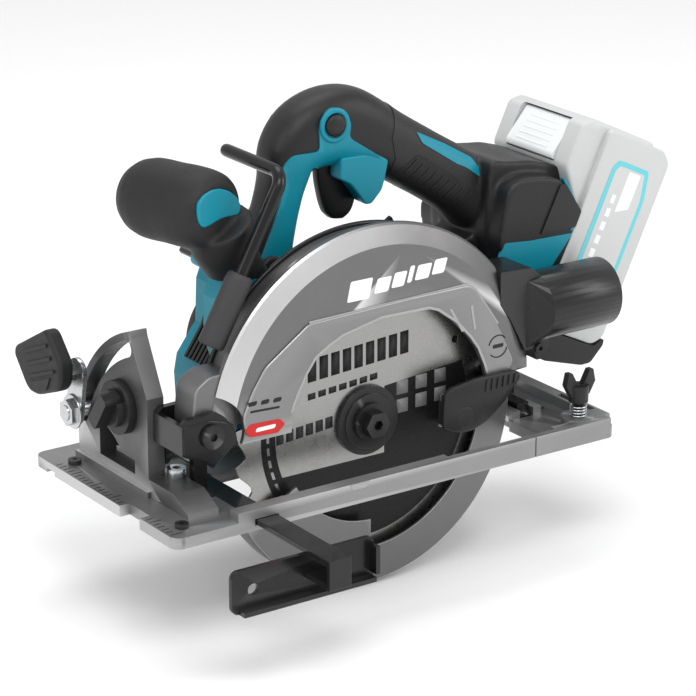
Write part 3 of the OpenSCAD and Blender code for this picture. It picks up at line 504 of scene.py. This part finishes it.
# a black bar along the far rim: painted shade at the guard's outer rim
rim = []
for i in range(61):
    a = math.radians(28 + (172 - 28) * i / 60)
    rim.append((97.1 * math.cos(a), 11.5, DRUM[1] + 97.1 * math.sin(a)))
tube("guard_far_rim_shade", rim, 1.5, black_metal, "saw_body", 10)
LUG = rounded([(-112, 48), (-110, 68), (-101, 74), (-85, 74), (-85, 40), (-100, 36), (-110, 37)], 4)
prism("guard_front_lug", LUG, "y", -7.6, 11.6, guard_grey, "saw_body", 1.2)
TAB = rounded([(38, 24), (53, 24), (53, 46), (38, 46)], 5)
prism("clamp_tab", TAB, "y", 12.5, 14.5, guard_grey, "saw_body", 0.4)

# panel round the window, standing a little off the wall
PANEL = [(-86, 50), (-80, 63), (-72, 75), (-45, 93.5), (20, 95.5), (57, 95.5), (62, 92), (77, 70), (88, 47),
         (84, 40.5), (-84, 40.5)]
panel_face = prism("guard_panel", rounded(PANEL, 2.5), "y", -14.7, -13.2, guard_grey, "saw_body",
                   0, 1)
combine(panel_face, prism("tool", WINDOW, "y", -18, -9, guard_grey, None, bevel=0))
# the panel's rounded edges carry a painted highlight
finish_edges(panel_face, 0.9, 2, edge=highlight_grey)
# bright lines along the panel's step and creases: painted highlight
STEP_HIGHLIGHT = [(-45, 94.6), (57, 96.6), (62.5, 92.6), (78, 70.2), (77, 69.4), (61.6, 91.4), (56.6, 95.2),
             (-44.6, 93.2)]
prism("guard_step_highlight", STEP_HIGHLIGHT, "y", -14.05, GUARD_WALL_Y, highlight_grey, "saw_body", 0.2, 2)
for i, (x0, z0) in enumerate([(38, 84.5), (52, 84)]):
    crease = [(x0 + 6, z0), (x0 + 7.6, z0 + 0.4), (x0 + 16 - 6 * i, z0 - 14), (x0 + 14.6 - 6 * i, z0 - 14.4)]
    prism("guard_crease_highlight_%d" % i, crease, "y", -14.95, -14.5, highlight_grey, "saw_body", 0.15, 1)

# raised border of the window in painted highlight grey, the plain bars that stand for print, badge and round mark
LIP = 1.6
border = []
inner = WINDOW[1:-1]
for k, (x, z) in enumerate(inner):
    a = Vector(inner[max(k - 1, 0)])
    b = Vector(inner[min(k + 1, len(inner) - 1)])
    t = (b - a).normalized()
    border.append((x - t.y * LIP, z + t.x * LIP))
prism("window_lip_highlight", border + inner[::-1], "y", -14.92, -14.2, highlight_grey, "saw_body", 0.25, 2)


def slanted(name, x0, x1, z0, z1, lean, mat, y=-13.62, rise=0.0):
    """A plain leaning bar printed on the guard."""
    pts = [(x0, z0), (x1, z0 + rise), (x1 + lean, z1 + rise), (x0 + lean, z1)]
    return prism(name, rounded(pts, 1.2), "y", y, GUARD_WALL_Y, mat, "saw_body", 0.05, 1)


for i, (step, w, h) in enumerate([(0, 14, 11), (17, 9, 8), (28, 8, 8), (38, 3, 9), (43, 9, 8), (54, 8, 8)]):
    x, z = -21 + step, 100 + 0.10 * step
    slanted("guard_bar_%d" % i, x, x + w, z, z + h, 2.5, white_paint)
prism("badge", rounded([(-85.6, 43.3), (-82, 46.4), (-64, 45.8), (-60.5, 42.3), (-65, 38.3), (-82, 39.3)],
                       1.0), "y", -14.95, -14.4, red_paint, "saw_body", 0.1, 1)
slanted("badge_bar", -79, -67, 41.4, 43.6, 0.8, white_paint, -15.02)
for i in range(3):
    slanted("note_bar_%d" % i, -83 + 7.5 * i, -78 + 7.5 * i, 56 - 0.4 * i, 58.4 - 0.4 * i, 0.7, dark_mark,
            PANEL_PRINT_Y)
slanted("note_bar_low", -82, -64, 52.4, 53.6, 0.4, dark_mark, PANEL_PRINT_Y, rise=-0.8)
for i in range(2):
    a0 = math.radians(40 + 180 * i)
    turns = [a0 + 2.2 * k / 20 for k in range(21)]
    arc = [(77 + 6.2 * math.cos(t), -14.75, 57.3 + 6.2 * math.sin(t)) for t in turns]
    tube("round_mark_%d" % i, arc, 0.35, dark_mark, "saw_body", 8)
slanted("round_mark_bar", 73.4, 80.6, 56.4, 58.6, 0.2, dark_mark, PANEL_PRINT_Y)

# ---------- cheek of the front bracket ----------
CHEEK = [(-121, 46), (-119.5, 52.4), (-105, 53), (-94, 50), (-88.6, 42), (-88.6, 37), (-102.6, 26.4),
         (-107, 30.2), (-120.6, 36.2)]
prism("bracket_cheek", rounded(CHEEK, 2.0), "y", -12.9, -8, black_metal, "tilt_frame", 1.2, 3)

# ---------- lever of the lower guard ----------
LEVER = [(38.5, 19), (39.4, 37.5), (44, 41), (60, 43.3), (86, 42.8), (91, 39.6), (88, 35), (80, 26), (68, 17),
         (58, 13.6), (48, 14.4)]
STEM = [(43, 18), (56.3, 18), (56.3, 30), (43, 30)]
lever = prism("guard_lever_body", rounded(LEVER, 3.0), "y", -18.4, -15.1, plastic, "blade_guard",
              1.3, 3)
bake(lever)
combine(lever, prism("tool", STEM, "y", -16, -7.2, plastic, None, bevel=0), "UNION")
combine(lever, lathe("tool", [(4.3, -21), (4.3, -15.9)], (LEVER_X, 0, LEVER_Z), (0, 1, 0), plastic, None,
                     n=40))
combine(lever, lathe("tool", [(2.02, -21), (2.02, 0)], (LEVER_X, 0, LEVER_Z), (0, 1, 0), plastic, None, n=32))
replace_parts(shade_by_angle(lever, 30), "guard_lever")
for i in range(6):
    x, z = 66 + 3.8 * i, 34.5 + 0.2 * i
    rib = [(x, z), (x + 1.6, z), (x + 2.4, 41.4), (x + 0.8, 41.4)]
    prism("guard_lever_rib_%d" % i, rib, "y", -19.2, -18.1, plastic, "blade_guard", 0.4, 2)
lathe("guard_lever_boss", [(4.4, 0), (5.6, 0), (6.2, 0.5), (6.2, 1.0), (4.4, 1.0)], (LEVER_X, -18.8, LEVER_Z),
      (0, 1, 0), plastic, "blade_guard", 40)

# ---------- handle ----------
STATIONS = [(-36, 95, 15.5, 14), (-32.5, 108, 13.5, 14), (-28.5, 122, 11.8, 13.5), (-24, 137, 10.6, 13.2),
            (-20, 151, 11.2, 13.6), (-16, 163.5, 15.5, 15.2), (-7, 172.5, 18.8, 16.4),
            (6, 176.6, 20.4, 17), (19, 175.4, 21.2, 17), (31, 170, 20.0, 17),
            (44, 162.6, 18.3, 16.6), (60, 153.2, 17.7, 16.2), (80, 141.2, 17.6, 16.2),
            (97, 130.6, 18.8, 17), (112, 121, 22, 21)]
handle = loft_y("handle_body", ease(STATIONS), plastic, "saw_body")
SEAT = [(99, 92), (97, 106), (101, 148), (114, 144.8), (130, 143.4), (146, 138.2), (160.6, 130.9),
        (127.9, 61.6), (114, 61.6), (104, 71)]
SEAT_LOW = [(100, 92), (98, 106), (104, 134), (116, 138), (132, 136), (142, 133), (155.6, 113.5),
            (151.6, 104), (127.9, 61.6), (114, 61.6), (104, 71)]
combine(handle, prism("tool", rounded(SEAT, 6), "y", 25, 75, plastic, None, bevel=0), "UNION")
combine(handle, prism("tool", rounded(SEAT_LOW, 5), "y", 12.6, 87.4, plastic, None, bevel=0), "UNION")
HANDLE_FOOT = [(-48, 97), (-49, 106), (-36, 116), (-14, 104), (20, 100), (60, 98.5), (84, 99), (104, 108),
               (108, 92), (84, 90.5), (40, 90.5), (12, 90.5), (-20, 92)]
combine(handle, prism("tool", rounded(HANDLE_FOOT, 3), "y", 34, 66, plastic, None, bevel=0), "UNION")
voxel(handle, 1.3, 5)
TRIGGER_ROOM = [(0.3, 130), (0.3, 167), (28.7, 167), (28.7, 130)]
combine(handle, prism("tool", TRIGGER_ROOM, "y", 44, 56, plastic, None, bevel=0))
combine(handle, lathe("tool", [(6.45, 28), (6.45, 44)], (LOCK_X, 0, LOCK_Z), (0, 1, 0), plastic, None))
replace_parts(handle, "handle_shell_near", "handle_shell_far")


def panel(name, outline, grow, y0, y1, mat, edge=0.35):
    """A thin cover on the handle, of the given outline seen from the side."""
    o = loft_y(name, ease(STATIONS), mat, "saw_body", grow=grow)
    combine(o, prism("tool", outline, "y", y0, y1, mat, None, bevel=0), "INTERSECT")
    return finish_edges(shade_by_angle(o, 40), edge, 2, 40)


TEAL_SIDE = [(-50, 92), (-43, 108), (-33, 130), (-25, 152), (-27, 162), (-22, 168), (-6, 168), (-6.5, 181),
             (-2, 188), (3, 190.4), (9, 188.4), (13.5, 181), (12, 173), (34, 158.5), (33, 150), (27, 135),
             (20, 150), (2, 154), (-9, 160), (-12, 143), (-16, 130), (-13, 118), (-16, 92)]
panel("handle_teal_side", rounded(TEAL_SIDE, 3.0), 0.9, 28, 43, teal)
TEXTURE = [(47, 188), (40.5, 168), (43, 156), (39, 140), (60, 118), (97, 104), (112, 132), (84, 168)]
panel("grip_texture", TEXTURE, 0.35, 28, 72, pebbled, 0.2)
INSERT = [(58, 168.5), (61, 162), (84, 147), (91, 143.5), (99, 137.5), (101.5, 139), (96, 148), (78, 158.5)]
panel("grip_insert", rounded(INSERT, 1.2), 0.7, 28, 46, teal)
GRIP_PAD = [(42, 146.5), (58, 157), (88, 136.5), (106, 122), (88, 108)]
panel("grip_pad", rounded(GRIP_PAD, 3.0), 0.55, 28, 72, rubber)
for i in range(9):
    f = i / 8
    a, b = (50 + 36 * f, 147 - 24 * f), (57 + 36 * f, 153.5 - 24 * f)
    d = (Vector(b) - Vector(a)).normalized() * 0.7
    pts = [(a[0] - d.y, a[1] + d.x), (b[0] - d.y, b[1] + d.x), (b[0] + d.y, b[1] - d.x),
           (a[0] + d.y, a[1] - d.x)]
    panel("grip_rib_%d" % i, pts, 1.1, 28, 72, rubber, 0.2)
RING = [(9.4, 0), (9.4, 1.2), (8.8, 1.7), (7.2, 1.7), (6.6, 1.2), (6.6, 0), (6.6, -3), (9.4, -3)]
lathe("lock_off_ring", RING, (LOCK_X, 33.2, LOCK_Z), (0, -1, 0), teal, "saw_body", 56)
CAP = [(0.1, -7.5), (6.05, -7.5), (6.05, 2.4), (5.4, 3.2), (3.0, 3.6), (0.1, 3.7)]
btn = lathe("lock_off_cap", CAP, (LOCK_X, 33.4, LOCK_Z), (0, -1, 0), plastic, "lock_off", 48)
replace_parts(btn, "lock_off_button")
TRIGGER = [(14.4, 158, 12.8, 5.2), (14.6, 150, 12.8, 5.2), (15.4, 142, 12.2, 5.3), (15.6, 134, 10.6, 5.3),
           (15.2, 128, 8.0, 5.0), (14.8, 124.6, 4.2, 3.6)]
trig = loft_y("trigger_shape", ease(TRIGGER), plastic, "trigger_body", power=3.2)
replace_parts(trig, "trigger")

SKIRT = rounded([(8, 162), (30, 161.5), (38.6, 156.2), (36.6, 147), (34.4, 140.3), (27.6, 133.6), (23.3, 134),
                 (19.5, 139.5), (14, 146.5), (7, 150.5)], 1.8)
prism("trigger_skirt_near", SKIRT, "y", 33.4, 43.7, teal, "saw_body", 1.2, 3)
prism("trigger_skirt_far", SKIRT, "y", 56.3, 66.6, plastic, "saw_body", 1.2, 3)

# ---------- louvres of the motor housing ----------
LOUVRE = [(-56.4, 79), (-58.2, 72.6), (-69.6, 57.2), (-71.6, 57.6), (-60.6, 73.6), (-58.4, 79.6)]
for i in range(6):
    y = 47 + 3.6 * i
    prism("motor_louvre_%d" % i, LOUVRE, "y", y, y + 2.2, plastic, "saw_body", 0.4, 2)

# ---------- near side of the battery's seat, and the dark foot under the battery ----------
WEDGE = rounded([(97.6, 95.5), (101.4, 104), (119, 102.4), (148.4, 101.9), (129.9, 80), (112, 84)], 1.5)
prism("seat_wedge", WEDGE, "y", 11.9, 14.5, teal, "saw_body", 0.5)
TRIM = [(141, 134.4), (143, 133.6), (153.6, 113.6), (148.6, 103.2), (146.8, 103.6), (151.6, 113.4)]
prism("seat_trim", rounded(TRIM, 0.6), "y", 12.2, 15.5, teal, "saw_body", 0.4)
FACET = rounded([(126, 105), (139, 131), (142.4, 131.6), (154, 113.6), (150.2, 105.2)], 1.0)
prism("seat_facet", FACET, "y", 11.6, 14.0, plastic, "saw_body", 1.0, 2)
SEAT_FOOT = rounded([(125.8, 51.2), (165.4, 32), (173.2, 35.2), (172.6, 31.4), (163.6, 22.6), (157, 22.4),
                     (129.6, 30.6), (124.6, 40)], 1.6)
prism("seat_foot", SEAT_FOOT, "y", BATTERY_NEAR, BATTERY_FAR, plastic, "saw_body", 1.2, 3)

# ---------- front grip ----------
GRIP_TURN = math.radians(17.5)
grip_end = Vector((-79, 17, 151))
grip_along = Vector((-math.sin(GRIP_TURN), math.cos(GRIP_TURN), 0))
grip_across = Vector((grip_along.y, -grip_along.x, 0))
GRIP_PROFILE = [(0.1, 0.2), (15.6, 0.2), (18.2, 1.4), (20.2, 5), (21.2, 11), (21.5, 20), (21.2, 30),
                (21.4, 38), (21.2, 44), (19.4, 51), (15.4, 57), (9, 60.6), (0.1, 61.6)]
grip = lathe("front_grip_body", GRIP_PROFILE, grip_end, grip_along, rubber, "saw_body", 64)
NECK = [(-54, 30, 104), (-59, 30, 112), (-64.5, 29.5, 120.5), (-69.5, 28.5, 130), (-74, 27, 142)]
neck = tube("tool", NECK, lambda f: 12.6 + 2.0 * abs(f - 0.35) + 5.0 * f, rubber, None, n=40)
combine(grip, neck, "UNION")
voxel(grip, 1.1, 8)
BELOW_NECK = [(-110, -10), (0, -10), (0, 80), (-110, 80)]
combine(grip, prism("tool", BELOW_NECK, "z", 80, 112.2, rubber, None, bevel=0))
BEAN = [(-16.5, 1.5), (-15.5, 6.5), (-11.5, 10), (-5.5, 11.4), (1.5, 10.6), (8.5, 7.6), (14, 3.4), (17, -1.2),
        (16.6, -5), (14, -6.6), (8, -5.9), (2, -5.4), (-4, -6.2), (-9, -7.2), (-13, -7), (-15.8, -3.4)]


def bean(name, grow, near, deep, slot):
    """The bean shaped insert in the end of the grip, or without a slot the tool that cuts its seat."""
    rings = []
    for t in (near, deep):
        ring = []
        for h, v in rounded(BEAN, 2.0):
            point = grip_end + grip_across * (h * grow) + Vector((0, 0, v * grow + 2)) + grip_along * t
            ring.append(tuple(point))
        rings.append(ring)
    return layers(name, rings, teal, "saw_body" if slot else None)


combine(grip, bean("tool", 1.02, -6, 3.2, None))
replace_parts(grip, "front_grip")
cap = finish_edges(bean("front_grip_insert", 1.0, -0.55, 3.1, "teal_plastic"), 0.9, 3, 40)
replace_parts(cap, "front_grip_cap")

# ---------- hook sleeve ----------
ROD_R, BEND_R = 3.5, 9
rod_foot, rod_top = Vector((-94.2, 3, 86)), Vector((-48.5, 3, 170))
rise = (rod_top - rod_foot).normalized()
SLEEVE_PROFILE = [(3.6, 0), (6.0, 0), (7.0, 1.0), (7.1, 4), (7.1, 36), (6.7, 39), (5.6, 40), (3.6, 40),
                  (3.6, 30)]
sl = lathe("hook_sleeve_body", SLEEVE_PROFILE, rod_foot, rise, sleeve, "saw_body", 40)
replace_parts(sl, "hook_sleeve")
path = [rod_foot + rise * t for t in (1, 10, 30, 50, 70, (rod_top - rod_foot).length - BEND_R)]
for k in range(1, 9):
    a = math.radians(90 * k / 9)
    path.append(rod_top - rise * BEND_R * (1 - math.sin(a)) + Vector((0, BEND_R * (1 - math.cos(a)), 0)))
path += [rod_top + Vector((0, y, 0)) for y in (9, 20, 35, 50, 54, 55.6, 56.8, 57.4)]
radii = [ROD_R] * (len(path) - 3) + [3.2, 2.2, 0.6]
rod = tube("hook_rod_body", path, radii, black_metal, "hook", 24)
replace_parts(rod, "hook_rod")

# ---------- battery ----------
SIN_TILT, COS_TILT = math.sin(SEAT_TILT), math.cos(SEAT_TILT)


def on_seat(pts):
    """X and Z of points given as (distance up the seat, distance away from it)."""
    return [(SEAT_X + s * COS_TILT + t * SIN_TILT, SEAT_Z + s * SIN_TILT - t * COS_TILT) for s, t in pts]


CASE = rounded(on_seat([(-68, 1), (48, 1), (48, 44), (42, 51), (-62, 51), (-68, 45)]), 3.0)
case = prism("battery_case_body", CASE, "y", BATTERY_NEAR, BATTERY_FAR, pale, "battery", 2.2,
             4)
bake(case)
HEAD = rounded(on_seat([(-2, 6), (2, -2), (20, -17), (45, -17), (50, -10), (50, 38), (42, 44)]), 2.5)
combine(case, bake(prism("tool", HEAD, "y", 16, 84, pale, None, bevel=2.0)), "UNION")
BUTTON_ROOM = on_seat([(20.6, -20), (46.6, -20), (46.6, -5.5), (20.6, -5.5)])
combine(case, prism("tool", BUTTON_ROOM, "y", 28.4, 71.6, pale, None, bevel=0))
CELL_ROOM = on_seat([(-64, 6), (42, 6), (42, 46), (-64, 46)])
combine(case, prism("tool", CELL_ROOM, "y", 16, 84, pale, None, bevel=0))
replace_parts(shade_by_angle(case, 35), "battery_case")
RELEASE = rounded(on_seat([(21.2, -8.4), (21.2, -18.4), (24, -19.2), (45, -13.6), (46, -12), (46, -8.4)]),
                  1.0)
btn = prism("battery_release", RELEASE, "y", 29, 71, white, "battery_latch", 1.2, 3)
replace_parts(btn, "battery_button")
for i in range(5):
    s = 26 + i * 3.6
    t = -18.9 + (s - 24) * 0.27
    rib = on_seat([(s, t - 0.5), (s + 1.2, t - 0.2), (s + 1.2, t + 1.5), (s, t + 1.5)])
    prism("release_rib_%d" % i, rib, "y", 36, 64, white, "battery_latch", 0.25, 2)


def on_battery(name, pts, y0, y1, mat, edge=0.1, seg=1):
    """A thin raised field on the battery's near side."""
    prism(name, pts, "y", y0, y1, mat, "battery", edge, seg)


LABEL_EDGE = rounded(on_seat([(-46, 11), (29, 11), (34, 14), (34, 38), (18, 42), (-46, 42)]), 2.0)
on_battery("battery_label_edge", LABEL_EDGE, 11.7, 12.4, cyan_line)
LABEL = rounded(on_seat([(-44, 13.8), (28, 13.8), (31.2, 16), (31.2, 35.6), (16.6, 39.2), (-44, 39.2)]), 1.6)
on_battery("battery_label", LABEL, 11.5, 12.4, pale)
on_battery("battery_label_stripe", rounded(on_seat([(6, 24), (30, 24), (30, 33), (10, 33)]), 0.8), 11.4, 12.2,
           white)
for i in range(6):
    s, t = -30 + 8 * i, 17 + 0.2 * i
    on_battery("battery_label_bar_%d" % i, on_seat([(s, t), (s + 5, t), (s + 5, 21), (s, 21)]), 11.4, 12.2,
               white)
for i in range(3):
    s = -60 + 4 * i
    groove = on_seat([(s, 6), (s + 1.6, 6), (s + 1.6, 44), (s, 44)])
    on_battery("battery_side_groove_%d" % i, groove, 11.7, 12.4, pale, 0.2, 2)

# ---------- bevel lever grip ----------
PAD = [(66, 57), (70, 52), (92, 43.5), (100, 43.5), (104, 46), (116, 60), (115, 65), (82, 83), (78, 82),
       (65, 68)]
pad = prism("bevel_lever_pad", rounded(PAD, 4.0), "x", -147.5, -138.8, rubber, "bevel_lever",
            2.4, 4)
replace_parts(pad, "bevel_lever_grip")
for i in range(3):
    a, b = Vector((78 - 3.5 * i, 75.5 - 6.2 * i)), Vector((104.5 - 2.5 * i, 64.5 - 6.2 * i))
    d = (b - a).normalized() * 1.0
    rib = [(a.x - d.y, a.y + d.x), (b.x - d.y, b.y + d.x), (b.x + d.y, b.y - d.x), (a.x + d.y, a.y - d.x)]
    prism("lever_rib_%d" % i, rounded(rib, 0.8), "x", -148.6, -146.5, rubber, "bevel_lever",
          0.6, 2)
POINT = rounded([(75.5, 58.5), (98, 49.6), (92.5, 46.6), (80, 50)], 1.2)
prism("lever_point", POINT, "x", -148.2, -146.5, rubber, "bevel_lever", 0.7, 2)

# ---------- scale of the base ----------
DECK_Z, FRONT_X = 6.0, -142.4
for i in range(30):
    y = -34 + i * 4
    if -8 < y < 16:  # a gap in the scale
        continue
    back_x = FRONT_X + (7 if i % 5 == 0 else 4)
    tick = [(FRONT_X, y - 0.35), (back_x, y - 0.35), (back_x, y + 0.35), (FRONT_X, y + 0.35)]
    prism("tick_x_%d" % i, tick, "z", DECK_Z, DECK_Z + 0.16, dark_mark, "base", 0, 1)

# ---------- joint and notch of the base's side rail ----------
JOINT = [(83.7, 0.5), (84.2, 0.5), (84.2, 11.4), (83.7, 11.4)]
prism("rail_joint", JOINT, "y", -40.9, -40.6, dark_mark, "base", 0, 1)
# the notch in painted highlight grey
NOTCH = rounded([(-38, 11.3), (-25, 11.3), (-28, 8.2), (-36, 8.2)], 0.6)
prism("sight_notch_highlight", NOTCH, "y", -41.0, -40.5, highlight_grey, "base", 0.2, 1)


# ---------- plain marks printed on the blade ----------
def blade_mark(name, pts, mat):
    prism(name, pts, "y", PRINT_Y, -0.6, mat, "spindle", 0, 1)


def blade_row(name, count, start, step, size):
    """A row of plain upright bars that rises a little to the right."""
    w, h = size
    for i in range(count):
        x, z = start[0] + step * i, start[1] + 0.5 * i
        blade_mark("%s_%d" % (name, i), [(x, z), (x + w, z + 0.3), (x + w, z + h), (x, z + h - 0.3)],
                   dark_mark)


for i in range(6):
    x, z = 20 + 12.5 * (i % 3), BLADE_Z + 9.5 - 10.5 * (i // 3) + 0.8 * (i % 3)
    square = rounded([(x, z), (x + 7.5, z), (x + 7.5, z + 7.8), (x, z + 7.8)], 0.6)
    blade_mark("blade_square_%d" % i, square, grey_mark)
blade_row("blade_bar", 9, (-37, 55.4), 7.4, (5.4, 13))
blade_row("blade_note", 7, (-37, 45.6), 6.6, (4.8, 3.8))
blade_row("blade_word", 6, (-57, 24.6), 6.2, (4.6, 6.8))

# ---------- stage, light, camera ----------
FLOOR_Z = -0.0665  # m, a little under the lowest point of the saw
bpy.ops.mesh.primitive_plane_add(size=12, location=(0, 0, FLOOR_Z))
floor = bpy.context.object
floor.name = "floor"
floor.data.materials.append(surface("floor_white", (0.93, 0.93, 0.93), 0.8, 0.0, 300, 0.03, 0.01, 3,
                                    spec=0.2))

world = bpy.data.worlds.new("studio")
bpy.context.scene.world = world
bpy.context.scene.view_settings.view_transform = "Standard"
world.use_nodes = True
background = world.node_tree.nodes["Background"]
background.inputs["Color"].default_value = (1, 1, 1, 1)
background.inputs["Strength"].default_value = 0.74


def light(name, where, size, watts):
    """A soft lamp aimed at the middle of the saw."""
    d = bpy.data.lights.new(name, "AREA")
    d.shape, d.size, d.size_y, d.energy = "RECTANGLE", size[0], size[1], watts
    o = bpy.data.objects.new(name, d)
    bpy.context.scene.collection.objects.link(o)
    o.location = where
    o.rotation_euler = (Vector((0, 0, 0.07)) - Vector(where)).to_track_quat("-Z", "Y").to_euler()


light("key", (-0.5, -0.9, 1.5), (0.9, 0.6), 11)
light("left", (-1.5, -0.1, 0.7), (0.5, 1.1), 5)
light("right", (1.2, -1.0, 0.8), (0.5, 1.0), 8)
light("top", (0.2, 0.5, 1.7), (1.2, 0.8), 9)

cam_data = bpy.data.cameras.new("camera")
cam = bpy.data.objects.new("camera", cam_data)
bpy.context.scene.collection.objects.link(cam)
cam.location = (-0.84844, -1.21535, 0.58658)
look = Vector((-0.01101, 0, 0.06952)) - cam.location
cam.rotation_euler = look.to_track_quat("-Z", "Y").to_euler()
cam_data.lens, cam_data.sensor_width = 153.9, 36
cam_data.clip_start, cam_data.clip_end = 0.05, 50
bpy.context.scene.camera = cam
